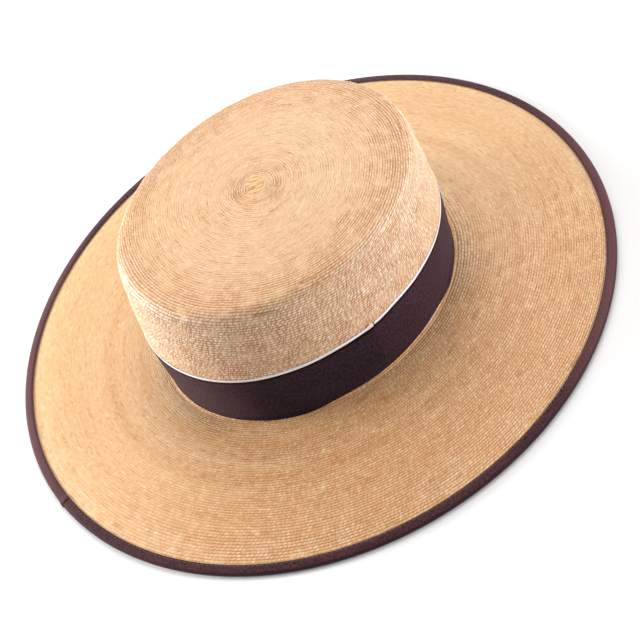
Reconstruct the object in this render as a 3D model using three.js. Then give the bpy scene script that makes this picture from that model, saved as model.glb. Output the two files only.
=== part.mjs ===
// A palm straw hat: an oval crown with a slightly domed top, a wide brim that falls towards its edge,
// a ribbon band with a pale edging, and a tape folded over the edge of the brim.
// Millimetres, +Z up, +X to the front. The hat rests on the underside of its binding, at z = 0.

import * as THREE from "three";
import { mergeVertices } from "three/addons/utils/BufferGeometryUtils.js";

// Crown, measured on its outside and up from the brim
const CROWN_LENGTH = 199.4;
const CROWN_WIDTH = 166.2;
const CROWN_HEIGHT = 101; // up to the rim of the top
const TOP_RISE = 6.5; // the middle of the top above its rim
const SHOULDER_RADIUS = 8;
const WALL_INSET = 1.8; // the wall leans in by this over its height
const WALL_BULGE = 2.9; // and swells out by this halfway up
const STRAW = 2; // thickness of the sewn braid

// Brim, measured out from the crown's wall
const BRIM_WIDTH = 101; // to the outside of the binding
const BRIM_DROP = 9; // fall from the crown to the edge of the straw
const BREAK_RADIUS = 3; // the turn from wall to brim
const SEAM_HEIGHT = 6; // the collar of the brim meets the crown here, under the band

// Ribbon band and its pale edging
const BAND_FOOT = 3; // lower edge above the brim
const BAND_WIDTH = 42.2;
const BAND_RIBBON = 1; // thickness
const BAND_LAP_STEPS = 2; // length of the lapped end, in steps round the hat
const BAND_CLIMB_STEPS = 3; // stretch over which that end rises onto the other
const EDGING_WIDTH = 2.3;
const EDGING_RIBBON = 0.9; // thickness at its edges
const EDGING_SWELL = 0.3; // extra thickness along its middle

// Tape bound over the edge of the brim
const BINDING_WIDTH = 6.5; // to the outside of its fold
const BINDING_TAPE = 1; // thickness
const REST_TURN = THREE.MathUtils.degToRad(25); // half the arc of its fold that is pressed flat below

const GAP = 0.3; // between neighbouring pieces
const STEPS = 72; // facets round the hat
const STEP = (2 * Math.PI) / STEPS;
const BAND_JOIN = THREE.MathUtils.degToRad(-93.5); // on the right-hand side of the hat
const BINDING_JOIN = Math.PI - STEP; // near the middle of the back
const UPWARD = Math.PI / 2;
const MERGE = 1e-3;

// Sections through each piece, from the middle of the hat outwards and downwards
const TOP_SHARES = [0, 0.35, 0.7]; // rings of the top, as shares of its rim
const SHOULDER_STEPS = 3;
const WALL_STEPS = 4;
const BREAK_STEPS = 2;
const BRIM_STEPS = 6;
const BAND_STEPS = 3;
const FOLD_STEPS = 4;

// Heights and reaches that follow from the sizes above
const FOLD_RADIUS = STRAW / 2 + GAP + BINDING_TAPE;
const STRAW_EDGE = BRIM_WIDTH - FOLD_RADIUS;
const STRAW_RUN = STRAW_EDGE - BREAK_RADIUS;
const EDGE_FACING = UPWARD - Math.atan((2 * BRIM_DROP) / STRAW_RUN);
const BRIM_LEVEL = BRIM_DROP + (STRAW / 2) * Math.sin(EDGE_FACING) + FOLD_RADIUS * Math.cos(REST_TURN);
const SHOULDER_HEIGHT = CROWN_HEIGHT - SHOULDER_RADIUS;
const BAND_TOP = BAND_FOOT + BAND_WIDTH;

const { lerp, clamp, smoothstep } = THREE.MathUtils;
const evenly = (steps, make) => Array.from({ length: steps + 1 }, (_, i) => make(i / steps));

// A profile point stands `out` from the oval of the crown's foot and `up` from the floor.
// `facing` is the way its surface looks, from outward (0) to upward.
// `share` shrinks the oval towards the axis.
function place({ out, up, share = 1 }, angle) {
  const x = share * (CROWN_LENGTH / 2 + out) * Math.cos(angle);
  const y = share * (CROWN_WIDTH / 2 + out) * Math.sin(angle);
  return new THREE.Vector3(x, y, up);
}

function behind(point, depth) {
  const out = point.out - depth * Math.cos(point.facing);
  const up = point.up - depth * Math.sin(point.facing);
  return { ...point, out, up };
}

// A section through a wall at one angle: points on its face, and the points behind them.
function wallSection(profile, thickness, angle) {
  const face = profile.map((point) => place(point, angle));
  const back = profile.map((point) => place(behind(point, thickness), angle));
  return { face, back };
}

// A closed solid through wall sections that follow each other round the hat.
function wallSolid(sections, isRing) {
  const loops = sections.map(({ face, back }) => [...face, ...back.toReversed()]);
  const size = loops[0].length;
  const lastLoop = (loops.length - 1) * size;
  const corners = [];
  const addQuad = (a, b, c, d) => corners.push(a, b, c, b, d, c);

  for (let here = 0; here < loops.length * size; here += size) {
    if (here === lastLoop && !isRing) break;
    const next = here === lastLoop ? 0 : here + size;
    for (let k = 0; k < size; k++) {
      const after = (k + 1) % size;
      addQuad(here + k, here + after, next + k, next + after);
    }
  }
  for (let k = 0; k < size / 2 - 1 && !isRing; k++) {
    const across = size - 1 - k;
    addQuad(k, across, k + 1, across - 1);
    addQuad(lastLoop + across, lastLoop + k, lastLoop + across - 1, lastLoop + k + 1);
  }

  const positions = loops.flat().flatMap((point) => point.toArray());
  const loose = new THREE.BufferGeometry();
  loose.setAttribute("position", new THREE.Float32BufferAttribute(positions, 3));
  loose.setIndex(corners);
  const geometry = mergeVertices(loose, MERGE);
  geometry.setIndex(withoutSlivers(geometry.index.array));
  geometry.computeVertexNormals();
  return geometry;
}

// Sections that share a point on the axis have triangles with two like corners between them, left out here.
function withoutSlivers(corners) {
  const kept = [];
  for (let t = 0; t < corners.length; t += 3) {
    const triangle = corners.slice(t, t + 3);
    if (new Set(triangle).size === 3) kept.push(...triangle);
  }
  return kept;
}

function ringOf(profile, thickness) {
  const sections = Array.from({ length: STEPS }, (_, i) => wallSection(profile, thickness, i * STEP));
  return wallSolid(sections, true);
}

// How far the crown's wall stands out at a height above the brim.
function wallOut(height) {
  const climb = clamp((height - BREAK_RADIUS) / (SHOULDER_HEIGHT - BREAK_RADIUS), 0, 1);
  return WALL_BULGE * Math.sin(Math.PI * climb) - (WALL_INSET * height) / CROWN_HEIGHT;
}

function onWall(height, lift) {
  return { out: wallOut(height) + lift, up: BRIM_LEVEL + height, facing: 0 };
}

// The brim's upper face at a share of its run from the turn to its edge.
function onBrim(share) {
  const out = BREAK_RADIUS + STRAW_RUN * share;
  const up = BRIM_LEVEL - BRIM_DROP * share ** 2;
  const facing = UPWARD - Math.atan((2 * BRIM_DROP * share) / STRAW_RUN);
  return { out, up, facing };
}

function crownGeometry() {
  const rim = wallOut(SHOULDER_HEIGHT) - SHOULDER_RADIUS;
  const top = TOP_SHARES.map((share) => {
    const up = BRIM_LEVEL + CROWN_HEIGHT + TOP_RISE * (1 - share ** 2);
    return { share, out: rim, up, facing: UPWARD };
  });
  const shoulder = evenly(SHOULDER_STEPS, (turn) => {
    const facing = UPWARD * (1 - turn);
    const out = rim + SHOULDER_RADIUS * Math.cos(facing);
    const up = BRIM_LEVEL + SHOULDER_HEIGHT + SHOULDER_RADIUS * Math.sin(facing);
    return { out, up, facing };
  });
  const wall = evenly(WALL_STEPS, (descent) => onWall(lerp(SHOULDER_HEIGHT, SEAM_HEIGHT, descent), 0));
  return ringOf([...top, ...shoulder, ...wall.slice(1)], STRAW);
}

function brimGeometry() {
  const collar = onWall(SEAM_HEIGHT - GAP, 0);
  const turn = evenly(BREAK_STEPS, (share) => {
    const facing = UPWARD * share;
    const out = BREAK_RADIUS * (1 - Math.cos(facing));
    const up = BRIM_LEVEL + BREAK_RADIUS * (1 - Math.sin(facing));
    return { out, up, facing };
  });
  const flange = evenly(BRIM_STEPS, onBrim);
  return ringOf([collar, ...turn, ...flange.slice(1)], STRAW);
}

// The ribbon goes once round the crown, and its last stretch climbs onto the end that it started from.
function bandGeometry() {
  const sections = [];
  for (let i = 0; i <= STEPS + BAND_LAP_STEPS; i++) {
    const angle = BAND_JOIN + (i - BAND_LAP_STEPS) * STEP;
    const climb = smoothstep(i, STEPS - BAND_CLIMB_STEPS, STEPS);
    const lift = GAP + BAND_RIBBON + climb * (GAP + BAND_RIBBON);
    const profile = evenly(BAND_STEPS, (descent) => onWall(lerp(BAND_TOP, BAND_FOOT, descent), lift));
    sections.push(wallSection(profile, BAND_RIBBON, angle));
  }
  return wallSolid(sections, false);
}

// A strip once round the hat, cut through at its join.
function cutRing(profile, thickness, join, radius) {
  const slit = GAP / radius;
  const sections = evenly(STEPS, (turn) => {
    const angle = join + slit / 2 + turn * (2 * Math.PI - slit);
    return wallSection(profile, thickness, angle);
  });
  return wallSolid(sections, false);
}

function edgingGeometry() {
  const foot = BAND_TOP + GAP;
  const profile = evenly(2, (descent) => {
    const swell = EDGING_SWELL * Math.sin(Math.PI * descent);
    return onWall(lerp(foot + EDGING_WIDTH, foot, descent), GAP + EDGING_RIBBON + swell);
  });
  return cutRing(profile, EDGING_RIBBON, BAND_JOIN, CROWN_WIDTH / 2);
}

// The tape lies on the brim, folds round its edge and comes back under it.
// The fold is pressed flat below, where the hat rests.
function bindingGeometry() {
  const tapeEdge = onBrim(1 - (BINDING_WIDTH - FOLD_RADIUS) / STRAW_RUN);
  const strawEdge = onBrim(1);
  const middle = behind(strawEdge, STRAW / 2);
  const onFold = (facing) => behind({ ...middle, facing }, -FOLD_RADIUS);
  const fold = evenly(FOLD_STEPS, (turn) => onFold(lerp(EDGE_FACING, REST_TURN - UPWARD, turn)));
  const underEdge = behind(tapeEdge, STRAW + GAP + BINDING_TAPE);
  const profile = [
    behind(tapeEdge, -GAP - BINDING_TAPE),
    ...fold,
    onFold(-REST_TURN - UPWARD),
    { ...underEdge, facing: tapeEdge.facing - Math.PI },
  ];
  return cutRing(profile, BINDING_TAPE, BINDING_JOIN, CROWN_LENGTH / 2 + BRIM_WIDTH);
}

function piece(name, geometry, color, roughness) {
  const material = new THREE.MeshStandardMaterial({ color, roughness, metalness: 0 });
  const mesh = new THREE.Mesh(geometry, material);
  mesh.name = name;
  return mesh;
}

const hat = new THREE.Group();
hat.add(piece("crown", crownGeometry(), 0xe3b981, 0.6));
hat.add(piece("brim", brimGeometry(), 0xdcae76, 0.6));
hat.add(piece("hat_band", bandGeometry(), 0x36242a, 0.7));
hat.add(piece("band_edging", edgingGeometry(), 0xeee2e4, 0.6));
hat.add(piece("brim_binding", bindingGeometry(), 0x533c40, 0.8));

export default hat;
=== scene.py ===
"""A palm straw hat: a plait of palm leaf sewn in a spiral over crown and brim, a dark ribbon band with a
pale edging, and a tape stitched over the edge of the brim. Metres, +Z up, +X to the front of the hat."""
import math

import bpy
import numpy as np
from mathutils import Matrix, Vector


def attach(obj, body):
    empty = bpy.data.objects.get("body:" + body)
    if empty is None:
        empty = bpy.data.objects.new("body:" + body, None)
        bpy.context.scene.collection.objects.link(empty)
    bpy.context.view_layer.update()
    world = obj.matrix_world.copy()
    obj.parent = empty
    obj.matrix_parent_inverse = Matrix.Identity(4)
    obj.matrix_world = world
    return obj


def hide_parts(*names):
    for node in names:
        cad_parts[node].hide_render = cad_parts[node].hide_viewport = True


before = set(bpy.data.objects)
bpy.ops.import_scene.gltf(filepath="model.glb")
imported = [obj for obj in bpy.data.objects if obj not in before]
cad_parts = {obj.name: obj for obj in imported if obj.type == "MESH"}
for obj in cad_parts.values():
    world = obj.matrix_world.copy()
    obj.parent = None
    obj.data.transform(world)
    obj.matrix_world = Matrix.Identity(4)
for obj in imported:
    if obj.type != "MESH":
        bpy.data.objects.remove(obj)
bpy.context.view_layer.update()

MM = 0.001
UPWARD = math.pi / 2

# Crown, measured on its outside and up from the brim
CROWN_LENGTH = 199.4 * MM
CROWN_WIDTH = 166.2 * MM
CROWN_HEIGHT = 101 * MM
TOP_RISE = 6.5 * MM
SHOULDER_RADIUS = 8 * MM
WALL_INSET = 1.8 * MM
WALL_BULGE = 2.9 * MM
STRAW = 2 * MM
SEAM_HEIGHT = 6 * MM

# Brim, measured out from the crown's wall
BRIM_WIDTH = 101 * MM
BRIM_DROP = 9 * MM
BREAK_RADIUS = 3 * MM

# Ribbon band, its pale edging and the tape round the brim
BAND_FOOT = 3 * MM
BAND_WIDTH = 42.2 * MM
EDGING_WIDTH = 2.3 * MM
BINDING_WIDTH = 6.5 * MM
TAPE = 1 * MM
GAP = 0.3 * MM
BAND_JOIN = math.radians(-93.5)
BAND_LAP = math.radians(10)
BINDING_JOIN = math.radians(175)
REST_TURN = math.radians(25)

# Reaches and heights that follow
FOLD_RADIUS = STRAW / 2 + GAP + TAPE
STRAW_RUN = BRIM_WIDTH - FOLD_RADIUS - BREAK_RADIUS
EDGE_FACING = UPWARD - math.atan(2 * BRIM_DROP / STRAW_RUN)
BRIM_LEVEL = BRIM_DROP + STRAW / 2 * math.sin(EDGE_FACING) + FOLD_RADIUS * math.cos(REST_TURN)
SHOULDER_HEIGHT = CROWN_HEIGHT - SHOULDER_RADIUS
BAND_TOP = BAND_FOOT + BAND_WIDTH
MEAN_RADIUS = (CROWN_LENGTH + CROWN_WIDTH) / 4
EDGE_RADIUS = MEAN_RADIUS + BRIM_WIDTH
BAND_END = math.tau * MEAN_RADIUS

# The plait of palm leaf
BODY_SINK = 0.05 * MM  # the body under the rows
BODY_START = 0.2 * MM  # from the middle of the top
BODY_RINGS = 50
BODY_TURNS = 150
ROUTE_POINTS = 30000
BUTTON_RADIUS = 1.6 * MM  # where the rows start, under the button
HIDDEN_RUN = 9 * MM  # how far the wall's rows run on under the ribbon
HIDDEN_START = 2 * MM  # how far above the ribbon's foot the brim's rows start
HIDDEN_END = 2 * MM  # how far they run on under the tape
BRIM_SPLIT = 58 * MM  # reach where the brim's rows are cut in two pieces
ROW_ROUNDING = 0.8  # rows on the top: 0 follows the rim's oval, 1 is a circle
ROW_OFFSET = 4.5 * MM  # rows on the brim lie this far to the front of its middle
OFFSET_WHOLE = 10 * MM  # out from the crown's foot
OFFSET_WANES = (25 * MM, 5 * MM)  # in from the brim's edge
CROSSING_STRAY = 0.09 * MM
POINT_STRAY = 0.03 * MM
RISE_VARIES = (0.75, 1.2)
OUTER_STEPS = 4  # sections to a crossing, where rows show
INNER_STEPS = 1
INNER_SWELL = 0.6
LOOK_LEAD = 2 * MM  # how far ahead of the plait's lie its look changes
SEEDS = {"crown": 11, "brim": 13, "inside": 15, "under": 16, "stitches": 21}

# How it lies on the top, the wall and the brim
PLAIT_LIE = {
    "pitch": (1.5 * MM, 2.0 * MM, 1.62 * MM),  # of the rows
    "length": (2.85 * MM, 2.5 * MM, 2.5 * MM),  # of a crossing, along the row
    "uneven": (0.5, 0.65, 0.5),  # how much that length varies
    "rise": (0.3 * MM, 0.55 * MM, 0.36 * MM),  # of a crest above the body
    "tuck": (0.07 * MM, 0.04 * MM, 0.08 * MM),  # of a row's edges below the body
    "lean": (1.1 * MM, 0.6 * MM, 1.1 * MM),  # of a crossing from edge to edge, along the row
    "slant": (0.3 * MM, 1.0 * MM, 0.3 * MM),  # of its crest, up across the row
    "notch": (0.6, 0.8, 0.75),  # between crossings, as a share of the rise
    "point": (1.0, 1.5, 1.2),  # how narrow a crossing's crest is
    "patchy": (0.28, 0.14, 0.15),  # how much the rise changes from place to place
    "tone": (0.6, 0.57, 0.58),  # of the leaf, from dark to pale
    "mixed": (0.1, 0.12, 0.13),  # how much the tone varies
    "wall": (0, 1, 0),  # how much it looks like the wall's
}

# How strongly rows stand out, as a share of their rise. On the top it goes by millimetres from the middle.
TOP_RELIEF = [(10, 0.9), (24, 0.5), (45, 0.4), (60, 0.48), (72, 0.8), (81, 1.3)]
WALL_RELIEF = 1.05
WALL_RELIEF_FACING = math.radians(-115)  # where it is strongest
WALL_RELIEF_LOSS = 0.56  # on the side across from there
COVERED_LOSS = 0.7  # under the ribbon and its edging
COVERED_BLEND = 1.5 * MM  # up from the ribbon's foot
BRIM_RELIEF = 0.2
BRIM_RELIEF_SLOPE = (0.6, 7.6)  # lost by the metre, to the front and to the left
BRIM_RELIEF_LEAST = 0.16
FOOT_RELIEF = 0.5  # more beside the crown
FOOT_RELIEF_REACH = 12 * MM
RELIEF_LEAST = 0.12
RELIEF_MOST = 1.4
PATCH_SIZE = 9 * MM

# Tones of the crossings, and stains: their chance on a crossing, where, and how wide around it
STRAND_RUN = 14  # crossings from one change of tone to the next
STRAND_MIXED = 0.06
FLAT_MIXED = 0.4  # how much of the difference stays where rows are pressed flat
STAIN_CHANCE = 0.003
CROWN_STAINS = (0.024, 9 * MM, 8 * MM)  # at a reach out on the brim
BUTTON_STAINS = (0.14, 13 * MM, 1.7 * MM)  # at a distance from the middle of the top
STAIN_STRENGTH = (0.35, 0.95)
TOP_STAINS = 0.7  # how strong they are on the top

# Rings of darker and paler leaf: millimetres down the profile, and the tone. Beside the crown's foot the
# dark rings are painted shade in the crease by the ribbon, and the pale rings are painted light on the brim.
LEAF_AND_PAINTED_LIGHT_RINGS = [
    (10, 0),
    (13.5, -0.1),
    (17, 0),
    (21, 0.04),
    (27, 0),
    (183, 0),
    # Painted shade in the crease at the ribbon's foot
    (186, -0.22),
    (188.5, -0.14),
    # Painted light on the brim beside the crown
    (191, 0.12),
    (197, 0.1),
    (204, -0.06),
    (210, 0),
    (219, 0.06),
    (223, 0),
    (227, -0.13),
    (232, 0),
    (238, 0.05),
    (246, 0),
    (252, -0.04),
    (258, 0),
    (268, 0.03),
    (276, 0.1),
]

# Colours of the leaf from dark to pale, between crossings and in stains
CROWN_LEAF = [
    (0.05, (0.52, 0.275, 0.112)),
    (0.35, (0.73, 0.44, 0.226)),
    (0.6, (0.83, 0.533, 0.304)),
    (0.95, (0.93, 0.735, 0.51)),
]
# The wall's leaf, made whiter than the top's partly as painted highlight for the glints on its crossings
WALL_LEAF_AND_GLINTS = [
    (0.05, (0.52, 0.28, 0.125)),
    (0.35, (0.73, 0.48, 0.288)),
    (0.6, (0.83, 0.61, 0.415)),
    (0.95, (0.93, 0.815, 0.645)),
]
BRIM_LEAF = [
    (0.05, (0.47, 0.22, 0.08)),
    (0.35, (0.69, 0.395, 0.182)),
    (0.6, (0.79, 0.5, 0.258)),
    (0.95, (0.88, 0.67, 0.435)),
]
BUTTON_LEAF = [
    (0.05, (0.45, 0.18, 0.045)),
    (0.35, (0.78, 0.42, 0.14)),
    (0.6, (0.85, 0.51, 0.21)),
    (0.95, (0.92, 0.68, 0.42)),
]
# Between crossings: partly the leaf's own colour and partly painted shade in the hollows, browner on the
# wall
GAP_ORANGE_AND_SHADE = (0.55, 0.24, 0.085)
GAP_BROWN_AND_SHADE = (0.37, 0.155, 0.056)
STAIN_BROWN = (0.3, 0.12, 0.035)
BLUSH_PINK = (0.8, 0.5, 0.33)
# The body's brown between rows: partly the straw's own colour and partly painted shade in the cracks
BODY_DARK = (0.3, 0.14, 0.052)
BODY_PALE = (0.48, 0.25, 0.105)

# Colours of the ribbon, its edging, the tape, the thread and the floor
RIBBON_SHEEN = (1.0, 0.82, 0.84, 1.0)
RIBBON_BLACK = (0.0045, 0.0018, 0.003)
RIBBON_WINE = (0.038, 0.012, 0.02)
RIBBON_PURPLE = (0.029, 0.014, 0.037)
# Painted sheen: paler colour for a stretch of the ribbon after its join and one at the back
RIBBON_PAINTED_SHEEN = (0.09, 0.036, 0.045)
RIBBON_WORN = (0.1, 0.034, 0.03)
RIBBON_SHADOW = (0.002, 0.001, 0.0015)
SATIN_GREY = (0.79, 0.7, 0.75)
SATIN_PALE = (0.93, 0.88, 0.92)
SATIN_TAN = (0.78, 0.58, 0.54)
SATIN_PINK = (0.8, 0.5, 0.52)
TAPE_SHEEN = (1.0, 0.84, 0.84, 1.0)
TAPE_DARK = (0.02, 0.0065, 0.009)
TAPE_WINE = (0.108, 0.034, 0.034)
TAPE_PURPLE = (0.08, 0.034, 0.05)
# Painted sheen: paler colour for the tape at the hat's front right and back left
TAPE_PAINTED_SHEEN = (0.2, 0.082, 0.085)
TAPE_SHADOW = (0.012, 0.005, 0.006)
THREAD_DARK = (0.055, 0.034, 0.036)
THREAD_PALE = (0.13, 0.088, 0.09)
FLOOR_GREY = (0.9, 0.9, 0.9)
FLOOR_PALE = (0.93, 0.93, 0.925)

# The button: how far its strands stand off the top, and where they lie, in millimetres from its middle
STRAND_LIFT = 0.3 * MM
STRAND_LAYER = 0.02 * MM  # more for each strand
STRAND_ROUND = 0.12 * MM  # more along its middle
STRAND_SINK = 0.1 * MM  # of its ends
STRAND_SECTIONS = 15
STRAND_POINTS = 7
BUTTON_STRENGTH = 0.4
BUTTON_STRANDS = [
    {"tail": (-10.2, 2.0), "head": (-6.6, -5.2), "bow": -0.6, "width": 1.7, "tone": 0.72},
    {"tail": (-0.8, 9.6), "head": (5.8, 4.4), "bow": 0.5, "width": 1.5, "tone": 0.78},
    {"tail": (-4.0, 1.9), "head": (4.2, -2.2), "bow": 0.0, "width": 3.4, "tone": 0.3},
    {"tail": (-8.4, 1.0), "head": (0.6, -4.7), "bow": -0.4, "width": 3.0, "tone": 0.6},
    {"tail": (-5.6, 7.0), "head": (-1.4, 4.2), "bow": 0.0, "width": 2.0, "tone": 0.9},
    {"tail": (-2.2, 8.4), "head": (4.0, 3.6), "bow": -0.5, "width": 2.4, "tone": 0.66},
    {"tail": (-1.4, 3.4), "head": (6.0, -1.0), "bow": 0.3, "width": 3.0, "tone": 0.54},
    {"tail": (-6.6, 4.4), "head": (2.0, 0.0), "bow": 0.2, "width": 2.1, "tone": 0.68},
    {"tail": (-4.2, -0.6), "head": (2.6, -3.0), "bow": 0.2, "width": 1.9, "tone": 0.62},
    {"tail": (-7.4, 2.0), "head": (-2.0, -0.5), "bow": 0.1, "width": 0.6, "tone": 0.25},
]

# Lie of the ribbon: degrees on from its join, height of its foot above the brim, and how far its upper
# edge and the edging dip, in millimetres
BAND_LIE = [
    (0, 2.2, 0.5),
    (3.5, 2.2, 0.5),
    (9.5, 2.2, -0.4),
    (15.5, 2.3, -0.2),
    (21.5, 2.3, 0.4),
    (27.5, 2.2, 0.6),
    (33.5, 1.4, 1.1),
    (39.5, 0.7, 1.8),
    (45.5, 0.9, 2.0),
    (90, 1.2, 1.6),
    (220, 1.2, 1.4),
    (265, 1.5, 1.5),
    (290, 1.8, 1.5),
    (303, 1.5, 1.4),
    (315.5, 1.0, 1.1),
    (327.5, 0.9, 0.5),
    (333.5, 1.6, 0.3),
    (339.5, 2.8, 0.1),
    (345.5, 3.4, -0.3),
    (351.5, 3.4, 0.1),
    (356.5, 3.3, 0.6),
    (360, 3.3, 0.6),
]
BAND_LIFT = 0.15 * MM  # off the wall, under the ribbon
BAND_CLIMB = 0.85 * MM  # of its last stretch over its start
BAND_RAMP = math.radians(15)  # before the lap
BAND_SECTIONS = 480
BAND_POINTS = 18
RIBBON_DEPTH = 0.7 * MM
EDGING_DEPTH = 0.75 * MM
EDGING_SHOWS = 0.86  # of the solid's width
EDGING_SECTIONS = 720
EDGING_POINTS = 14
EDGING_SLIT = 0.8 * MM  # between the edging's ends
TAIL_LENGTH = 7 * MM  # last stretch of the edging, which widens
TAIL_GROWTH = 0.65
TAIL_LIFT = 0.5 * MM

# The tape and its lap
TAPE_DEPTH = 0.35 * TAPE
TAPE_PRESSED = 0.6 * TAPE  # at its edges
TAPE_PRESSED_RUN = 1.5 * MM
TAPE_SECTIONS = 900
TAPE_POINTS = 14  # on each side of the brim
FOLD_POINTS = 16
TAPE_LAP = math.radians(0.6)
TAPE_RAMP = math.radians(0.8)
TAPE_LIFT = 0.55 * MM
CLOTH_CREASE = math.radians(50)  # sharper turns of ribbon and tape show as edges

# Stitches along the tape
STITCH_PITCH = 2.9 * MM
STITCH_LENGTH = 1.7 * MM
STITCH_RADIUS = 0.22 * MM
STITCH_INSET = 1.2 * MM  # from the tape's inner edge
STITCH_DIP = 0.14 * MM  # how far they draw the tape in
STITCH_DIP_WIDTH = 0.4 * MM
STITCH_SKEW = 0.12
STITCH_STAND = 0.3  # how far its middle is off the tape, as a share of its radius
STITCH_SECTIONS = 7
STITCH_SIDES = 6


def smoothstep(value, low, high):
    share = np.clip((value - low) / (high - low), 0, 1)
    return share * share * (3 - 2 * share)


def running_length(points):
    """Distance along a path of points, from its first."""
    return np.concatenate([[0], np.cumsum(np.linalg.norm(np.diff(points, axis=0), axis=1))])


def drift(points, size, seed):
    """A value of mean 0 and spread 1 that changes smoothly from place to place, over about `size`."""
    rng = np.random.default_rng(seed)
    total = 0
    for _ in range(8):
        way = rng.normal(0, 1, 3)
        pace = math.tau / (size * rng.uniform(0.6, 1.6) * np.linalg.norm(way))
        total = total + np.sin(points @ way * pace + rng.uniform(0, math.tau))
    return total / 2


# The straw's outside, as one profile from the middle of the top to the edge of the brim


def wall_out(height):
    """How far the crown's wall stands out at a height above the brim."""
    climb = np.clip((height - BREAK_RADIUS) / (SHOULDER_HEIGHT - BREAK_RADIUS), 0, 1)
    return WALL_BULGE * np.sin(np.pi * climb) - WALL_INSET * height / CROWN_HEIGHT


# The dome of the top runs into the shoulder's curve without a crease
RIM_SLOPE = math.atan(2 * TOP_RISE / (MEAN_RADIUS - SHOULDER_RADIUS))
RIM_OUT = wall_out(SHOULDER_HEIGHT) - SHOULDER_RADIUS * (1 - math.sin(RIM_SLOPE))
RIM_HEIGHT = SHOULDER_HEIGHT + SHOULDER_RADIUS * math.cos(RIM_SLOPE)


def top_profile(share):
    up = RIM_HEIGHT + (CROWN_HEIGHT + TOP_RISE - RIM_HEIGHT) * (1 - share**2)
    return share, RIM_OUT + 0 * share, up, UPWARD - np.arctan(share * math.tan(RIM_SLOPE))


def shoulder_profile(turn):
    facing = (UPWARD - RIM_SLOPE) * (1 - turn)
    out = wall_out(SHOULDER_HEIGHT) - SHOULDER_RADIUS * (1 - np.cos(facing))
    return 1 + 0 * turn, out, SHOULDER_HEIGHT + SHOULDER_RADIUS * np.sin(facing), facing


def wall_profile(descent):
    height = SHOULDER_HEIGHT + (BREAK_RADIUS - SHOULDER_HEIGHT) * descent
    return 1 + 0 * descent, wall_out(height), height, 0 * descent


def break_profile(turn):
    facing = UPWARD * turn
    return 1 + 0 * turn, BREAK_RADIUS * (1 - np.cos(facing)), BREAK_RADIUS * (1 - np.sin(facing)), facing


def brim_profile(run):
    facing = UPWARD - np.arctan(2 * BRIM_DROP * run / STRAW_RUN)
    return 1 + 0 * run, BREAK_RADIUS + STRAW_RUN * run, -BRIM_DROP * run**2, facing


def straw_profile():
    """Columns of share, out, up and facing, and the distance down the profile on the mean oval."""
    stretches = [(top_profile, 60), (shoulder_profile, 24), (wall_profile, 60), (break_profile, 12)]
    parts = [make(np.linspace(0, 1, count, endpoint=False)) for make, count in stretches]
    parts.append(brim_profile(np.linspace(0, 1, 60)))
    columns = np.concatenate([np.stack(part) for part in parts], axis=1)
    share, out, up, _ = columns
    return columns, running_length(np.stack([share * (MEAN_RADIUS + out), up], axis=-1))


PROFILE, DOWN = straw_profile()


def down_at_height(height):
    """Distance down the profile to a height on the crown's wall, or lower."""
    return np.interp(-height, -PROFILE[2], DOWN)


def down_at_reach(out):
    """Distance down the profile to a reach out on the brim."""
    on_brim = DOWN > down_at_height(BREAK_RADIUS)
    return np.interp(out, PROFILE[1][on_brim], DOWN[on_brim])


def round_hat(out, up, angle, share=1.0):
    """Points that stand `out` from the oval of the crown's foot and `up` from the floor."""
    x = (share * CROWN_LENGTH / 2 + out) * np.cos(angle)
    y = (share * CROWN_WIDTH / 2 + out) * np.sin(angle)
    return np.stack(np.broadcast_arrays(x, y, up), axis=-1)


def on_straw(down, angle, lift):
    """Points `lift` off the outside of the straw."""
    share, out, up, facing = (np.interp(down, DOWN, column) for column in PROFILE)
    out = share * out + lift * np.cos(facing)
    return round_hat(out, BRIM_LEVEL + up + lift * np.sin(facing), angle, share)


def on_top(x, y, lift):
    """Points `lift` off the top of the crown, at a place in plan."""
    along = x / (CROWN_LENGTH / 2 + RIM_OUT)
    across = y / (CROWN_WIDTH / 2 + RIM_OUT)
    down = np.interp(np.hypot(along, across), PROFILE[0][DOWN <= RIM_DOWN], DOWN[DOWN <= RIM_DOWN])
    return on_straw(down, np.arctan2(across, along), lift)


def on_wall(height, angle, lift):
    return round_hat(wall_out(height) + lift, BRIM_LEVEL + height, angle)


# Distances down the profile where the straw changes
RIM_DOWN = down_at_height(RIM_HEIGHT)
WALL_DOWN = down_at_height(SHOULDER_HEIGHT)
SEAM_DOWN = down_at_height(SEAM_HEIGHT)
BRIM_DOWN = down_at_height(0)
EDGE_DOWN = DOWN[-1]
WALL_PLAIT_START = RIM_DOWN + 2 * MM
WALL_PLAIT_WHOLE = RIM_DOWN + 10 * MM


# Shader nodes


class Signal:
    """A shader socket that takes part in Python sums. Each sum adds a Math node."""

    def __init__(self, finish, socket):
        self.finish = finish
        self.socket = socket

    def reckon(self, operation, *operands):
        return self.finish.node("ShaderNodeMath", {"operation": operation}, dict(enumerate(operands)))

    def __add__(self, other):
        return self.reckon("ADD", self, other)

    def __radd__(self, other):
        return self.reckon("ADD", other, self)

    def __sub__(self, other):
        return self.reckon("SUBTRACT", self, other)

    def __rsub__(self, other):
        return self.reckon("SUBTRACT", other, self)

    def __mul__(self, other):
        return self.reckon("MULTIPLY", self, other)

    def __rmul__(self, other):
        return self.reckon("MULTIPLY", other, self)


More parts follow.
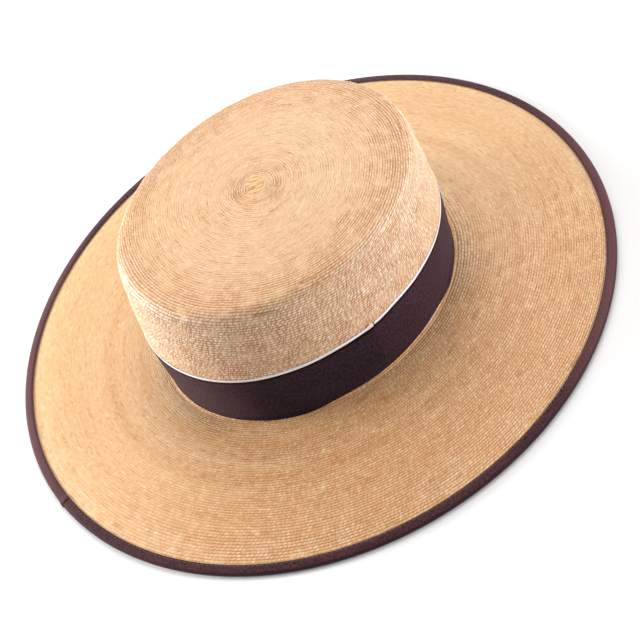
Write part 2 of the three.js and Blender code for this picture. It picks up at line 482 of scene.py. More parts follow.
class Finish:
    """A material, with its nodes."""

    def __init__(self, name, **constants):
        self.material = bpy.data.materials.new(name)
        self.material.use_nodes = True
        self.tree = self.material.node_tree
        self.surface = self.tree.nodes["Principled BSDF"]
        for socket, value in constants.items():
            self.surface.inputs[socket.replace("_", " ")].default_value = value

    def node(self, kind, settings=None, sockets=None, output=0):
        """Adds a node: its settings first, then the values or links of its sockets."""
        node = self.tree.nodes.new(kind)
        for setting, value in (settings or {}).items():
            if setting == "stops":
                self.set_stops(node.color_ramp, value)
            else:
                setattr(node, setting, value)
        for socket, value in (sockets or {}).items():
            self.feed(node.inputs[socket], value)
        return Signal(self, node.outputs[output])

    def feed(self, socket, value):
        if isinstance(value, Signal):
            self.tree.links.new(value.socket, socket)
        else:
            socket.default_value = value

    @staticmethod
    def set_stops(ramp, stops):
        while len(ramp.elements) < len(stops):
            ramp.elements.new(1.0)
        for element, (position, color) in zip(ramp.elements, stops):
            element.position = position
            element.color = (*color, 1.0)

    def attribute(self, name, output="Fac"):
        return self.node("ShaderNodeAttribute", {"attribute_name": name}, output=output)

    def parts(self, vector):
        split = self.node("ShaderNodeSeparateXYZ", sockets={0: vector}).socket.node
        return [Signal(self, output) for output in split.outputs]

    def vector(self, x, y, z=0.0):
        return self.node("ShaderNodeCombineXYZ", sockets={0: x, 1: y, 2: z})

    def place(self):
        return self.node("ShaderNodeTexCoord", output="Object")

    def noise(self, vector, scale, detail=2.0, roughness=0.5):
        sockets = {"Vector": vector, "Scale": scale, "Detail": detail, "Roughness": roughness}
        return self.node("ShaderNodeTexNoise", sockets=sockets)

    def wave(self, turns):
        """A value that swings between -1 and 1, once for each whole step of turns."""
        angle = turns * math.tau
        return angle.reckon("SINE", angle)

    def between(self, value, low, high, start=0.0, end=1.0):
        settings = {"interpolation_type": "SMOOTHSTEP"}
        sockets = {0: value, 1: low, 2: high, 3: start, 4: end}
        return self.node("ShaderNodeMapRange", settings, sockets)

    def ramp(self, value, stops):
        return self.node("ShaderNodeValToRGB", {"stops": stops}, {0: value})

    def stretch(self, along, start, whole, wane, end):
        """1 on a stretch of a ribbon, and 0 beyond it."""
        return self.between(along, start, whole) * self.between(along, wane, end, 1.0, 0.0)

    def mix(self, share, first, second):
        sockets = {0: share, 6: as_color(first), 7: as_color(second)}
        return self.node("ShaderNodeMix", {"data_type": "RGBA"}, sockets, output=2)

    def dents(self, height, depth):
        """A normal from a height between 0 and 1, `depth` metres deep."""
        return self.node("ShaderNodeBump", sockets={"Height": height, "Distance": depth})

    def show(self, **sockets):
        for socket, signal in sockets.items():
            self.feed(self.surface.inputs[socket.replace("_", " ")], signal)
        return self.material


def as_color(value):
    return value if isinstance(value, Signal) else (*value, 1.0)


def plait_finish(name, leaf_stops):
    """Palm leaf: each crossing of the plait has its own tone and is pale on its crest, with orange on the
    top and brim and brown on the wall between the crossings: partly the leaf's own colour and partly painted
    shade in the hollows. The wall's leaf is also whiter, partly as painted highlight for its glints."""
    finish = Finish(name, Specular_IOR_Level=0.48)
    along, across, crest = finish.parts(finish.attribute("plait", "Vector"))
    wall, stain, strength = finish.parts(finish.attribute("lie", "Vector"))
    tone = finish.attribute("tone")
    patches = finish.noise(finish.place(), 22.0, 3.0)
    blush = finish.noise(finish.place(), 330.0, 3.0, 0.6)
    loose = finish.noise(finish.place(), 110.0, 3.0, 0.6)
    fibres = finish.noise(finish.vector(along * 500 + across * 0.45, across * 7.0), 1.0, 3.0, 0.7)
    shade = tone + 0.08 * patches - 0.04 + 0.3 * fibres - 0.15 - 0.09 * (1 - strength)
    # On the wall the leaf is whiter, partly as painted highlight for its glints
    leaf = finish.mix(wall, finish.ramp(shade, leaf_stops), finish.ramp(shade, WALL_LEAF_AND_GLINTS))
    blushed = finish.mix(finish.between(blush, 0.5, 0.75, 0.0, 0.35), leaf, BLUSH_PINK)
    stained = finish.mix(stain, blushed, STAIN_BROWN)
    side = across.reckon("ABSOLUTE", across)
    hump = crest * (1 - side) * (1 + 0.5 * wall * side)
    # Partly painted shade: between crossings the colour turns orange on the top and brim and brown on the
    # wall
    gap_and_shade = finish.between(hump, 0.03, 0.8, 1.0, 0.0) * finish.between(loose, 0.3, 0.7, 0.65, 1.0) * strength
    color = finish.mix(gap_and_shade, stained, finish.mix(wall, GAP_ORANGE_AND_SHADE, GAP_BROWN_AND_SHADE))
    roughness = 0.26 + 0.24 * fibres + 0.1 * stain
    return finish.show(Base_Color=color, Roughness=roughness, Normal=finish.dents(fibres, 0.07 * MM))


def body_finish():
    """The straw's body, which shows only as the brown between rows: partly the straw's own colour and partly
    painted shade in the cracks.
    """
    finish = Finish("straw_between_rows")
    grain = finish.noise(finish.place(), 900.0, 3.0)
    color = finish.mix(grain, BODY_DARK, BODY_PALE)
    return finish.show(Base_Color=color, Roughness=0.6 + 0.2 * grain, Normal=finish.dents(grain, 0.1 * MM))


def ribbon_finish():
    """Dark corded ribbon with wine and purple specks, worn at its last end. A stretch after its join and one
    at the back are made paler as painted sheen, and its upper edge is black as painted shadow under the
    edging."""
    sheen = {"Sheen_Weight": 0.16, "Sheen_Roughness": 0.34, "Sheen_Tint": RIBBON_SHEEN}
    finish = Finish("band_ribbon", Specular_IOR_Level=0.12, **sheen)
    along, across, _ = finish.parts(finish.attribute("weave", "Vector"))
    cords = finish.wave(along * 1250)
    wear = finish.noise(finish.vector(along * 40, across * 70), 1.0, 3.0)
    specks = finish.noise(finish.vector(along * 620, across * 480), 1.0, 2.0, 0.7)
    bloom = finish.noise(finish.vector(along * 260, across * 190), 1.0, 2.0)
    shade = finish.between(specks + 0.3 * wear - 0.15, 0.3, 0.72)
    tint = finish.mix(finish.between(bloom, 0.35, 0.65), RIBBON_WINE, RIBBON_PURPLE)
    color = finish.mix(shade, RIBBON_BLACK, tint)
    # Painted sheen: a stretch after the join and one at the back are made paler
    near_start = finish.between(along, 0.0, 30 * MM, 0.6, 1.0)
    near_start = near_start * finish.between(along, 130 * MM, 190 * MM, 1.0, 0.0)
    at_back = finish.stretch(along, 400 * MM, 440 * MM, 484 * MM, 502 * MM)
    painted_sheen = (0.22 * near_start + 0.3 * at_back) * finish.between(specks, 0.25, 0.75, 0.5, 1.5)
    color = finish.mix(painted_sheen, color, RIBBON_PAINTED_SHEEN)
    last_end = finish.between(along, BAND_END - 1.1 * MM, BAND_END - 0.3 * MM)
    color = finish.mix(last_end * finish.between(specks, 0.35, 0.7, 0.1, 0.4), color, RIBBON_WORN)
    # Painted shadow along the upper edge, under the edging
    shadowed = finish.between(across, -2.2 * MM, -0.8 * MM)
    color = finish.mix(0.9 * shadowed, color, RIBBON_SHADOW)
    height = 0.5 + 0.35 * cords + 0.3 * specks
    roughness = 0.6 + 0.25 * wear
    return finish.show(Base_Color=color, Roughness=roughness, Normal=finish.dents(height, 0.12 * MM))


def edging_finish():
    """Pale satin, with fine threads across it, tan on two stretches and pink at its last end."""
    finish = Finish("edging_ribbon", Sheen_Weight=0.2)
    along, across, _ = finish.parts(finish.attribute("weave", "Vector"))
    threads = finish.noise(finish.vector(along * 1800, across * 300), 1.0, 2.0)
    satin = finish.mix(threads, SATIN_GREY, SATIN_PALE)
    near_start = finish.stretch(along, 25 * MM, 70 * MM, 120 * MM, 160 * MM)
    at_back = finish.stretch(along, 470 * MM, 486 * MM, 494 * MM, 508 * MM)
    satin = finish.mix(0.75 * near_start + 0.5 * at_back, satin, SATIN_TAN)
    blush = finish.between(along, BAND_END - TAIL_LENGTH, BAND_END - 0.2 * TAIL_LENGTH, 0.0, 0.8)
    color = finish.mix(blush, satin, SATIN_PINK)
    roughness = 0.35 + 0.2 * threads
    return finish.show(Base_Color=color, Roughness=roughness, Normal=finish.dents(threads, 0.08 * MM))


def tape_finish():
    """Plum-brown woven tape: a fine twill with wine and purple specks, made paler at the hat's front right
    and back left as painted sheen, and dark round the fold as painted shade."""
    sheen = {"Sheen_Weight": 0.26, "Sheen_Roughness": 0.42, "Sheen_Tint": TAPE_SHEEN}
    finish = Finish("binding_tape", Specular_IOR_Level=0.12, **sheen)
    along, across, _ = finish.parts(finish.attribute("weave", "Vector"))
    twill = finish.wave(along * 700 + across * 900)
    ribs = finish.wave(across * 1700 - along * 300)
    wear = finish.noise(finish.vector(along * 60, across * 160), 1.0, 4.0)
    specks = finish.noise(finish.vector(along * 560, across * 620), 1.0, 2.0, 0.7)
    bloom = finish.noise(finish.vector(along * 240, across * 300), 1.0, 2.0)
    shade = finish.between(specks + 0.3 * wear - 0.15 + 0.03 * twill, 0.25, 0.75)
    tint = finish.mix(finish.between(bloom, 0.35, 0.65), TAPE_WINE, TAPE_PURPLE)
    color = finish.mix(shade, TAPE_DARK, tint)
    # Painted sheen: paler towards the hat's front right and back left
    x, y, _ = finish.parts(finish.place())
    slanting = 0.75 * x - 0.66 * y
    painted_sheen = finish.between(slanting.reckon("ABSOLUTE", slanting), 140 * MM, 185 * MM, 0.0, 0.47)
    color = finish.mix(painted_sheen, color, TAPE_PAINTED_SHEEN)
    # Painted shade round the fold
    folded = finish.between(across, BINDING_WIDTH - 1.6 * MM, BINDING_WIDTH, 0.0, 0.8)
    color = finish.mix(folded, color, TAPE_SHADOW)
    height = 0.5 + 0.25 * twill + 0.2 * ribs
    roughness = 0.6 + 0.25 * wear
    return finish.show(Base_Color=color, Roughness=roughness, Normal=finish.dents(height, 0.12 * MM))


def thread_finish():
    """Grey cotton thread, twisted."""
    finish = Finish("stitch_thread", Sheen_Weight=0.1)
    twist = finish.noise(finish.place(), 3500.0, 1.0)
    color = finish.mix(twist, THREAD_DARK, THREAD_PALE)
    return finish.show(Base_Color=color, Roughness=0.6 + 0.2 * twist)


def floor_finish():
    finish = Finish("pale_floor")
    mottle = finish.noise(finish.place(), 3.0, 2.0)
    color = finish.mix(mottle, FLOOR_GREY, FLOOR_PALE)
    return finish.show(Base_Color=color, Roughness=0.8 + 0.1 * mottle)


CROWN_FINISH = plait_finish("crown_leaf", CROWN_LEAF)
BRIM_FINISH = plait_finish("brim_leaf", BRIM_LEAF)
BUTTON_FINISH = plait_finish("button_leaf", BUTTON_LEAF)
BODY_FINISH = body_finish()


# Meshes


def add_mesh(name, points, faces, material):
    mesh = bpy.data.meshes.new(name)
    mesh.from_pydata(np.reshape(points, (-1, 3)).tolist(), [], [list(face) for face in faces])
    mesh.polygons.foreach_set("use_smooth", np.ones(len(mesh.polygons), bool))
    mesh.materials.append(material)
    mesh.update()
    piece = bpy.data.objects.new(name, mesh)
    bpy.context.scene.collection.objects.link(piece)
    return piece


def add_part(name, points, faces, material, slot, *replaced):
    """A piece of the hat, which stands for the solids that it replaces."""
    piece = add_mesh(name, points, faces, material)
    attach(piece, "root")
    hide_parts(*replaced)
    return piece


def set_attribute(piece, name, kind, domain, values):
    attribute = piece.data.attributes.new(name, kind, domain)
    key = "vector" if kind == "FLOAT_VECTOR" else "value"
    attribute.data.foreach_set(key, np.asarray(values, np.float32).ravel())


def set_weave(piece, along, across):
    """Distances along and across a cloth, for its threads."""
    along, across = np.broadcast_arrays(along, across)
    set_attribute(piece, "weave", "FLOAT_VECTOR", "POINT", np.stack([along, across, 0 * along], axis=-1))


def grid_faces(rows, columns, round_rows=False, round_columns=False):
    """Quads over a grid of vertices. A round direction joins its last line to its first."""
    row = np.arange(rows if round_rows else rows - 1)
    column = np.arange(columns if round_columns else columns - 1)
    row, column = np.meshgrid(row, column, indexing="ij")
    next_row = (row + 1) % rows
    next_column = (column + 1) % columns
    corners = [(row, column), (row, next_column), (next_row, next_column), (next_row, column)]
    return np.stack([r * columns + c for r, c in corners], axis=-1).reshape(-1, 4)


def capped_strip(loops):
    """Faces of a solid through loops of points that follow each other, with a cap on each end."""
    count, size = loops.shape[:2]
    sides = grid_faces(count, size, round_columns=True).tolist()
    first = list(reversed(range(size)))
    last = list(range((count - 1) * size, count * size))
    return [*sides, first, last]


# The straw: its body, and the plait sewn over it


def wander(angle, down):
    """Rows stray a little from true ovals, and neighbours stray together."""
    slow = np.sin(3 * angle + 31 * down) + np.sin(5 * angle - 57 * down + 1.3)
    quick = np.sin(11 * angle + 140 * down + 0.4) + np.sin(17 * angle - 90 * down + 2.1)
    return 0.16 * MM * slow + 0.07 * MM * quick


def straw_body(name, start, end, node):
    """A wall of even thickness between two distances down the profile."""
    rings = np.linspace(start, end, BODY_RINGS)
    lift = np.repeat([-BODY_SINK, -STRAW + BODY_SINK], len(rings))
    rings = np.concatenate([rings, rings[::-1]])
    angle = np.linspace(0, math.tau, BODY_TURNS, endpoint=False)
    points = on_straw(rings[None, :], angle[:, None], lift[None, :])
    faces = grid_faces(len(angle), len(rings), round_rows=True, round_columns=True)
    return add_part(name, points, faces, BODY_FINISH, "palm_braid", node)


def row_shift(angle, down):
    """How far a row strays down the profile from the hat's own ovals.

    Rows are rounder than the oval of the top and come level at the crown's foot. On the brim they lie a
    little to the front, until its edge."""
    long, wide = CROWN_LENGTH / 2 + RIM_OUT, CROWN_WIDTH / 2 + RIM_OUT
    rounder = (long + wide) / 2 / np.hypot(long * np.cos(angle), wide * np.sin(angle)) - 1
    reach = np.interp(down, [0, RIM_DOWN, WALL_DOWN, SEAM_DOWN], [0, RIM_DOWN, RIM_DOWN, 0])
    stations = [SEAM_DOWN, BRIM_DOWN + OFFSET_WHOLE, *(EDGE_DOWN - inset for inset in OFFSET_WANES)]
    ahead = np.interp(down, stations, [0, ROW_OFFSET, ROW_OFFSET, 0])
    return ROW_ROUNDING * rounder * reach + ahead * np.cos(angle)


def plait_lie(measure, down):
    """A measure of how the plait lies, which changes at the rim of the top and at the crown's foot."""
    top, wall, brim = PLAIT_LIE[measure]
    stations = [WALL_PLAIT_START, WALL_PLAIT_WHOLE, SEAM_DOWN, BRIM_DOWN]
    return np.interp(down, stations, [top, wall, wall, brim])


def relief(points, down, angle, seed):
    """How strongly rows stand out at each place. They are pressed flatter in the middle of the top, under
    the ribbon and its edging, and towards the hat's left-hand side."""
    top_down, top_relief = np.array(TOP_RELIEF).T
    top = np.interp(down, top_down * MM, top_relief)
    away = WALL_RELIEF_LOSS / 2 * (1 - np.cos(angle - WALL_RELIEF_FACING))
    height = np.interp(down, DOWN, PROFILE[2])
    foot, band_top = band_lie((angle - BAND_JOIN) % math.tau)
    covered = smoothstep(band_top + EDGING_WIDTH - height, 0, EDGING_WIDTH)
    covered = covered * smoothstep(height - foot, 0, COVERED_BLEND)
    wall = (WALL_RELIEF - away) * (1 - COVERED_LOSS * covered)
    forward, leftward = BRIM_RELIEF_SLOPE
    brim = BRIM_RELIEF - forward * points[:, 0] - leftward * points[:, 1]
    brim = np.clip(brim, BRIM_RELIEF_LEAST, RELIEF_MOST)
    brim = brim + FOOT_RELIEF * np.exp((BRIM_DOWN - down) / FOOT_RELIEF_REACH)
    crown = top + (wall - top) * smoothstep(down, WALL_PLAIT_START, WALL_PLAIT_WHOLE)
    patches = plait_lie("patchy", down) * drift(points, PATCH_SIZE, seed)
    return np.clip(np.where(down < BRIM_DOWN, crown, brim) * (1 + patches), RELIEF_LEAST, RELIEF_MOST)


class PlaitRoute:
    """The spiral that a plait follows between two distances down the profile."""

    def __init__(self, start, end):
        self.down = np.linspace(start, end, ROUTE_POINTS)
        rows = np.diff(self.down) / plait_lie("pitch", self.down[1:])
        self.turn = np.concatenate([[0], np.cumsum(rows)])
        self.length = running_length(on_straw(self.down, math.tau * self.turn, 0))
        crossings = np.diff(self.length) / plait_lie("length", self.down[1:])
        self.crossing = np.concatenate([[0], np.cumsum(crossings)])

    def along_at(self, crossing):
        return np.interp(crossing, self.crossing, self.length)

    def turn_at(self, along):
        return np.interp(along, self.length, self.turn)

    def down_at(self, turn):
        return np.interp(turn, self.turn, self.down)


def plait_tones(down, strength, rng):
    """Each crossing's tone and stain. Strands keep their tone for a while, and a few crossings are stained,
    with the next two. Crossings differ less where the rows are pressed flat."""
    lobes = len(down)
    knots = np.linspace(0, lobes, lobes // STRAND_RUN + 2)
    strand = np.interp(np.arange(lobes), knots, rng.normal(0, 1, len(knots)))
    ring_down, ring_tone = np.array(LEAF_AND_PAINTED_LIGHT_RINGS).T
    # The rings' tone, which beside the crown's foot is painted shade and light
    tone = plait_lie("tone", down) + np.interp(down, ring_down * MM, ring_tone)
    varied = FLAT_MIXED + (1 - FLAT_MIXED) * np.minimum(strength, 1)
    tone += (STRAND_MIXED * strand + plait_lie("mixed", down) * rng.normal(0, 1, lobes)) * varied
    beside_crown, reach, crown_width = CROWN_STAINS
    round_button, middle, button_width = BUTTON_STAINS
    near_crown = np.exp(-(((down - down_at_reach(reach)) / crown_width) ** 2))
    near_button = np.exp(-(((down - middle) / button_width) ** 2))
    chance = STAIN_CHANCE + beside_crown * near_crown + round_button * near_button
    stain = (rng.random(lobes) < chance) * rng.uniform(*STAIN_STRENGTH, lobes)
    stain = np.maximum(stain, 0.8 * np.roll(stain, 1))
    stain = np.maximum(stain, 0.6 * np.roll(stain, 2)) * np.where(down < RIM_DOWN, TOP_STAINS, varied)
    return tone, stain


def sew_plait(route, pieces, steps, seed, inside=False):
    """A plait sewn along a route and cut into pieces, each with its finish and where it ends.

    A crossing of the plait is `steps` sections long. Each section has a point on both edges, tucked into
    the straw's body, and one on the crest between them."""
    rng = np.random.default_rng(seed)
    lobes = int(route.crossing[-1])
    evenly = route.down_at(route.turn_at(route.along_at(np.arange(lobes))))
    ends = np.cumsum(1 + plait_lie("uneven", evenly) * rng.uniform(-1, 1, lobes))
    ends = np.concatenate([[0], ends]) * lobes / ends[-1]
    section = np.arange(lobes * steps + 1)
    lobe = np.minimum(section // steps, lobes - 1)
    middle = route.along_at(np.interp(section / steps, np.arange(lobes + 1), ends))

    edge = np.array([-1.0, 0.0, 1.0])
    row = route.down_at(route.turn_at(middle))
    along = middle[:, None] - plait_lie("lean", row)[:, None] / 2 * edge
    turn = route.turn_at(along)
    angle = math.tau * turn
    down = route.down_at(turn + edge / 2)
    down = down + row_shift(angle, down) + wander(angle, down)
    centre = down[:, 1].copy()
    phase = section % steps / steps
    down[:, 1] -= plait_lie("slant", centre) * (phase - 0.5) * (phase > 0)
    astray = np.interp(section / steps, np.arange(lobes) + 0.5, rng.normal(0, CROSSING_STRAY, lobes))
    down += astray[:, None] + rng.normal(0, POINT_STRAY, down.shape)

    strength = relief(on_straw(centre, angle[:, 1], 0), centre, angle[:, 1], seed)
    swell = np.sin(np.pi * phase) if steps > 1 else INNER_SWELL + 0 * section
    crest = 1 - plait_lie("notch", centre) * (1 - swell ** plait_lie("point", centre))
    rise = plait_lie("rise", centre) * strength * crest * rng.uniform(*RISE_VARIES, lobes)[lobe]
    lift = np.where(edge == 0, rise[:, None], -(plait_lie("tuck", centre) * strength)[:, None])
    points = on_straw(down, angle, -STRAW - lift if inside else lift)
    weave = np.stack(np.broadcast_arrays(along, edge, crest[:, None]), axis=-1)
    tone, stain = plait_tones(centre[::steps][:lobes], strength[::steps][:lobes], rng)
    looks = plait_lie("wall", centre + LOOK_LEAD)
    lie = np.stack([looks, stain[lobe] * swell, np.minimum(strength, 1)], axis=-1)
    lie = np.repeat(lie[:, None], 3, axis=1)

    first = 0
    for name, finish, limit in pieces:
        last = min(int(np.searchsorted(row[::steps], limit)), lobes)
        cut = slice(first * steps, last * steps + 1)
        faces = grid_faces((last - first) * steps + 1, 3)
        faces = faces[:, ::-1] if inside else faces
        piece = add_part(name, points[cut], faces, finish, "palm_braid")
        set_attribute(piece, "plait", "FLOAT_VECTOR", "POINT", weave[cut])
        set_attribute(piece, "tone", "FLOAT", "FACE", np.repeat(tone[first:last], 2 * steps))
        set_attribute(piece, "lie", "FLOAT_VECTOR", "POINT", lie[cut])
        lay_flat(piece, faces, turn[cut], edge)
        first = last


def lay_flat(piece, faces, turn, edge):
    """A map of the plait with its turns stacked one above the other."""
    corner = faces.ravel()
    crest = faces.min(axis=1) // 3 * 3 + 1
    started = np.repeat(np.floor(turn.ravel()[crest]), 4)
    sideways = (turn.ravel()[corner] - started + 0.05) / 1.1
    stacked = turn + edge / 2
    stacked = (stacked - stacked.min()) / np.ptp(stacked)
    add_map(piece, np.stack([sideways, stacked.ravel()[corner]], axis=-1))


def add_map(piece, places):
    """A place on the piece's flat map for each corner of its faces."""
    layer = piece.data.uv_layers.new(name="OFBake")
    layer.uv.foreach_set("vector", places.astype(np.float32).ravel())


def make_straw():
    """The straw's body, and rows over its outside and its inside."""
    wall_end = down_at_height(BAND_TOP - HIDDEN_RUN)
    brim_start = down_at_height(BAND_FOOT + HIDDEN_START)
    brim_end = down_at_reach(BRIM_WIDTH - BINDING_WIDTH) + HIDDEN_END
    straw_body("crown_body", BODY_START, SEAM_DOWN, "crown")
    straw_body("brim_body", SEAM_DOWN + GAP, EDGE_DOWN, "brim")
    crown_pieces = [
        ("crown_top_plait", CROWN_FINISH, RIM_DOWN),
        ("crown_wall_plait", CROWN_FINISH, EDGE_DOWN),
    ]
    sew_plait(PlaitRoute(BUTTON_RADIUS, wall_end), crown_pieces, OUTER_STEPS, SEEDS["crown"])
    brim_pieces = [
        ("brim_inner_plait", BRIM_FINISH, down_at_reach(BRIM_SPLIT)),
        ("brim_outer_plait", BRIM_FINISH, EDGE_DOWN),
    ]
    sew_plait(PlaitRoute(brim_start, brim_end), brim_pieces, OUTER_STEPS, SEEDS["brim"])
    inside_route = PlaitRoute(BUTTON_RADIUS, SEAM_DOWN)
    inside_pieces = [("crown_inside_plait", CROWN_FINISH, EDGE_DOWN)]
    sew_plait(inside_route, inside_pieces, INNER_STEPS, SEEDS["inside"], inside=True)
    under_route = PlaitRoute(SEAM_DOWN + GAP, brim_end)
    under_pieces = [("brim_under_plait", BRIM_FINISH, EDGE_DOWN)]
    sew_plait(under_route, under_pieces, INNER_STEPS, SEEDS["under"], inside=True)


def make_button():
    """The start of the plait: strands laid over each other in the middle of the top."""
    share = np.linspace(0.01, 0.99, STRAND_SECTIONS)
    across = np.linspace(-1, 1, STRAND_POINTS)
    one = grid_faces(len(share), len(across))[:, ::-1]
    points, faces, weave, tones, places = [], [], [], [], []
    for layer, strand in enumerate(BUTTON_STRANDS):
        tail, head = np.array(strand["tail"]) * MM, np.array(strand["head"]) * MM
        length = np.linalg.norm(head - tail)
        forward = (head - tail) / length
        sideways = np.array([-forward[1], forward[0]])
        belly = np.sin(np.pi * share) ** 0.7
        middle = tail + share[:, None] * (head - tail)
        middle += strand["bow"] * MM * np.sin(np.pi * share)[:, None] * sideways
        place = middle[:, None] + strand["width"] / 2 * MM * (belly[:, None] * across)[..., None] * sideways
        raised = STRAND_LIFT + STRAND_LAYER * layer + STRAND_ROUND * (1 - across**2)
        lift = raised * belly[:, None] - STRAND_SINK
        points.append(on_top(place[..., 0], place[..., 1], lift))
        weave.append(np.stack(np.broadcast_arrays(share[:, None] * length + layer, across, 1), axis=-1))
        faces.append(one + layer * share.size * across.size)
        tones.append(np.full(len(one), strand["tone"]))
        stripe = (layer + 0.5 + 0.45 * across) / len(BUTTON_STRANDS)
        places.append(np.stack(np.broadcast_arrays(share[:, None], stripe), axis=-1).reshape(-1, 2))
    faces = np.concatenate(faces)
    piece = add_part("crown_button", np.concatenate(points), faces, BUTTON_FINISH, "palm_braid")
    set_attribute(piece, "plait", "FLOAT_VECTOR", "POINT", np.concatenate(weave))
    set_attribute(piece, "tone", "FLOAT", "FACE", np.concatenate(tones))
    lie = np.tile((0, 0, BUTTON_STRENGTH), (len(faces), 1))
    set_attribute(piece, "lie", "FLOAT_VECTOR", "FACE", lie)
    add_map(piece, np.concatenate(places)[faces.ravel()])


# Ribbon band and its edging


def band_lie(angle):
    """Heights above the brim of the ribbon's foot and of its upper edge, at angles on from its join."""
    degrees, foot, dip = np.array(BAND_LIE).T
    around = np.degrees(angle)
    return np.interp(around, degrees, foot) * MM, BAND_TOP - np.interp(around, degrees, dip) * MM


def make_band():
    """The ribbon goes once round, and its last stretch climbs onto the end that it started from."""
    sweep = np.linspace(-BAND_LAP, math.tau, BAND_SECTIONS)[:, None]
    climb = BAND_CLIMB * smoothstep(sweep, math.tau - BAND_LAP - BAND_RAMP, math.tau - BAND_LAP)
    foot, top = band_lie(sweep)
    share = np.linspace(1, 0, BAND_POINTS)
    face = np.concatenate([share, share[::-1]])
    outer = np.repeat([1, 0], BAND_POINTS)
    height = foot * (1 - face) + top * face
    turned = np.clip(1 - height / BREAK_RADIUS, 0, 1)
    on_break = BREAK_RADIUS * (1 - np.sqrt(1 - turned**2))
    lift = np.maximum(BAND_LIFT, on_break + BAND_LIFT) + climb + RIBBON_DEPTH * outer
    loops = on_wall(height, BAND_JOIN + sweep, lift)
    piece = add_part("band_ribbon", loops, capped_strip(loops), ribbon_finish(), "band_ribbon", "hat_band")
    set_weave(piece, sweep * MEAN_RADIUS, height - top)
    piece.data.set_sharp_from_angle(angle=CLOTH_CREASE)


def make_edging():
    """A pale strip over the ribbon's upper edge, whose last end widens and stands off a little."""
    slit = EDGING_SLIT / MEAN_RADIUS
    sweep = np.linspace(slit / 2, math.tau - slit / 2, EDGING_SECTIONS)[:, None]
    _, foot = band_lie(sweep)
    tail_sweep = TAIL_LENGTH / MEAN_RADIUS
    tail = smoothstep(sweep, math.tau - tail_sweep, math.tau - 0.3 * tail_sweep)
    around = np.linspace(0, math.tau, EDGING_POINTS, endpoint=False)
    width = EDGING_WIDTH * (EDGING_SHOWS + TAIL_GROWTH * tail)
    height = foot + GAP + width / 2 * (1 + np.cos(around))
    lift = BAND_LIFT + EDGING_DEPTH / 2 * (1 + np.sin(around)) + TAIL_LIFT * tail
    loops = on_wall(height, BAND_JOIN + sweep, lift)
    faces = capped_strip(loops)
    piece = add_part("band_edging_strip", loops, faces, edging_finish(), "edging_ribbon", "band_edging")
    set_weave(piece, sweep * MEAN_RADIUS, around * EDGING_WIDTH / 2)


# Tape over the edge of the brim, and its stitches


def tape_path():
    """The tape's outside in section: over the brim, round its edge and back under.

    Gives its points, as reach out and height above the floor, the way out of the tape at each, and the
    distance along it."""
    inner = 1 - (BINDING_WIDTH - FOLD_RADIUS) / STRAW_RUN
    _, out, up, facing = brim_profile(np.linspace(inner, 1, TAPE_POINTS))
    pressed = TAPE_PRESSED * (1 - smoothstep(out - out[0], 0, TAPE_PRESSED_RUN))
    above = GAP + TAPE - pressed
    below = STRAW + GAP + TAPE - pressed
    over = np.stack([out + above * np.cos(facing), up + above * np.sin(facing)], axis=-1)
    under = np.stack([out - below * np.cos(facing), up - below * np.sin(facing)], axis=-1)
    edge = np.array([out[-1], up[-1]])
    middle = edge - STRAW / 2 * np.array([math.cos(EDGE_FACING), math.sin(EDGE_FACING)])
    bend = np.linspace(EDGE_FACING, EDGE_FACING - math.pi, FOLD_POINTS)[1:-1]
    fold = middle + FOLD_RADIUS * np.stack([np.cos(bend), np.sin(bend)], axis=-1)
    path = np.concatenate([over, fold, under[::-1]])
    path[:, 1] += BRIM_LEVEL
    tangent = np.gradient(path, axis=0)
    tangent /= np.linalg.norm(tangent, axis=1)[:, None]
    outward = np.stack([-tangent[:, 1], tangent[:, 0]], axis=-1)
    across = running_length(path)
    for line in (STITCH_INSET, across[-1] - STITCH_INSET):
        path -= STITCH_DIP * np.exp(-(((across - line) / STITCH_DIP_WIDTH) ** 2))[:, None] * outward
    return path, outward, across


def tape_lift(sweep):
    """How far the tape stands off the brim where its last end laps over its start."""
    return TAPE_LIFT * smoothstep(sweep, math.tau - TAPE_RAMP, math.tau)


def make_binding():
    """The folded tape, whose last end laps over its start."""
    path, outward, across = tape_path()
    sweep = np.linspace(0, math.tau + TAPE_LAP, TAPE_SECTIONS)[:, None]
    lining = slice(None, None, -3)
    path = np.concatenate([path, (path - TAPE_DEPTH * outward)[lining]])
    outward = np.concatenate([outward, outward[lining]])
    out = path[:, 0] + tape_lift(sweep) * outward[:, 0]
    up = np.maximum(path[:, 1] + tape_lift(sweep) * outward[:, 1], 0)
    loops = round_hat(out, up, BINDING_JOIN + sweep)
    faces = capped_strip(loops)
    piece = add_part("binding_fold", loops, faces, tape_finish(), "binding_tape", "brim_binding")
    set_weave(piece, sweep * EDGE_RADIUS, np.concatenate([across, across[lining]]))
    piece.data.set_sharp_from_angle(angle=CLOTH_CREASE)


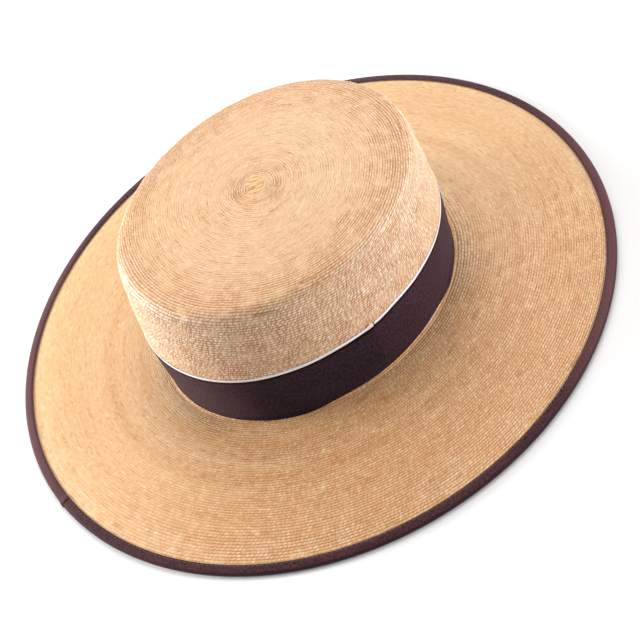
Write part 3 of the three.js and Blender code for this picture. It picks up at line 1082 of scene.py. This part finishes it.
def make_stitches():
    """A row of stitches through the tape, which shows above and below the brim."""
    path, outward, across = tape_path()
    material = thread_finish()
    count = round(math.tau * (EDGE_RADIUS - BINDING_WIDTH) / STITCH_PITCH)
    step = np.linspace(-0.5, 0.5, STITCH_SECTIONS)[:, None]
    side = np.linspace(0, math.tau, STITCH_SIDES, endpoint=False)
    sweep = math.tau * ((np.arange(count) + 0.5) / count)[:, None, None] + step * STITCH_LENGTH / EDGE_RADIUS
    lapped = tape_lift(np.where(sweep < TAPE_LAP, sweep + math.tau, sweep))
    skew = np.random.default_rng(SEEDS["stitches"]).normal(0, STITCH_SKEW, (count, 1, 1))
    for name, line in (("stitches_above", STITCH_INSET), ("stitches_below", across[-1] - STITCH_INSET)):
        out, up = (np.interp(line, across, column) for column in path.T)
        normal = [np.interp(line, across, column) for column in outward.T]
        high = lapped + STITCH_RADIUS * (STITCH_STAND + np.cos(side) - 2 * (2 * step) ** 4)
        aside = skew * step * STITCH_LENGTH + STITCH_RADIUS * np.sin(side)
        reach = out + high * normal[0] + aside * normal[1]
        level = np.maximum(up + high * normal[1] - aside * normal[0], 0)
        points = round_hat(reach, level, BINDING_JOIN + sweep)
        size = step.size * side.size
        one = capped_strip(points[0])
        faces = [[corner + size * k for corner in face] for k in range(count) for face in one]
        add_part(name, points, faces, material, "binding_tape")


# Floor, light and camera

FLOOR_REACH = 3.0
WORLD_LIGHT = 0.15
SOFTBOX_SIZE = 1.0
SOFTBOX_REACH = 1.7
SOFTBOX_AIM = (0, 0, 0.05)

# Two low softboxes and five above them: azimuth and elevation in degrees, and power in watts
SOFTBOXES = [
    ("low_back_left", 135, 12, 42.2),
    ("low_front_right", 315, 12, 31.2),
    ("back_right", 60, 35, 5.0),
    ("back_left", 150, 35, 4.3),
    ("left", 180, 35, 5.6),
    ("over_right", 0, 62, 5.5),
    ("over_back", 60, 62, 9.3),
]


def make_floor():
    corners = [(x * FLOOR_REACH, y * FLOOR_REACH, 0) for x, y in ((-1, -1), (1, -1), (1, 1), (-1, 1))]
    floor = add_mesh("floor", corners, [(0, 1, 2, 3)], floor_finish())


def add_softbox(name, place, power):
    light = bpy.data.lights.new(name, "AREA")
    light.shape = "DISK"
    light.size = SOFTBOX_SIZE
    light.energy = power
    lamp = bpy.data.objects.new(name, light)
    lamp.location = place
    lamp.rotation_euler = (Vector(SOFTBOX_AIM) - place).to_track_quat("-Z", "Y").to_euler()
    bpy.context.scene.collection.objects.link(lamp)


def light_studio():
    world = bpy.data.worlds.new("studio")
    world.use_nodes = True
    world.node_tree.nodes["Background"].inputs["Color"].default_value = (1, 1, 1, 1)
    world.node_tree.nodes["Background"].inputs["Strength"].default_value = WORLD_LIGHT
    bpy.context.scene.world = world
    bpy.context.scene.view_settings.view_transform = "Standard"
    for name, azimuth, elevation, power in SOFTBOXES:
        turn, rise = math.radians(azimuth), math.radians(elevation)
        ahead = Vector((math.cos(turn) * math.cos(rise), math.sin(turn) * math.cos(rise), math.sin(rise)))
        add_softbox(name, SOFTBOX_REACH * ahead, power)


def set_camera():
    """The photograph's view: high over the hat's right-hand side, and rolled."""
    elevation = math.radians(49.614)
    swing = math.radians(-22.154)
    roll = math.radians(-24.981)
    aim = Vector((-5.38, -11.97, 0.91)) * MM
    distance = 1174.5 * MM
    toward = Vector((math.sin(swing), -math.cos(swing), math.tan(elevation)))
    back = toward.normalized()
    level = Vector((math.cos(swing), math.sin(swing), 0))
    rise = back.cross(level)
    right = math.cos(roll) * level + math.sin(roll) * rise
    up = math.cos(roll) * rise - math.sin(roll) * level
    camera = bpy.data.objects.new("camera", bpy.data.cameras.new("camera"))
    camera.data.sensor_width = 36
    camera.data.lens = 105.25
    axes = Matrix((right, up, back)).transposed().to_4x4()
    camera.matrix_world = Matrix.Translation(aim + distance * back) @ axes
    bpy.context.scene.collection.objects.link(camera)
    bpy.context.scene.camera = camera


set_camera()
make_straw()
make_button()
make_band()
make_edging()
make_binding()
make_stitches()
make_floor()
light_studio()
